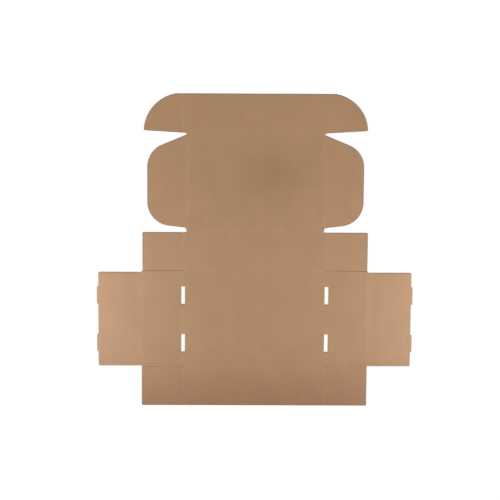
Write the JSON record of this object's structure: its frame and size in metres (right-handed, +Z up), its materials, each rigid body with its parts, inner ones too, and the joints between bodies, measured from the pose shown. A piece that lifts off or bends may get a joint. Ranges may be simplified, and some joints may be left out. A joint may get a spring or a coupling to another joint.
{
  "type": "flattened cardboard box",
  "caption": "Flat die-cut corrugated mailing box blank with rolled side walls, locking tabs and slots, dust flaps, an eared lid and a tuck flap, creased ready to fold.",
  "frame": {"origin": "centre of the sheet's outer box, on the underside that it rests on", "axes": "+X across the base from one rolled side wall to the other, +Y from the front wall over base, back wall and lid to the tuck flap, +Z up out of the sheet"},
  "size_m": [0.3222, 0.324, 0.0015],
  "materials": {
    "kraft_board": "matt uncoated brown kraft"
  },
  "bodies": {
    "root": {"flattened_box": "kraft_board"}
  },
  "joints": []
}
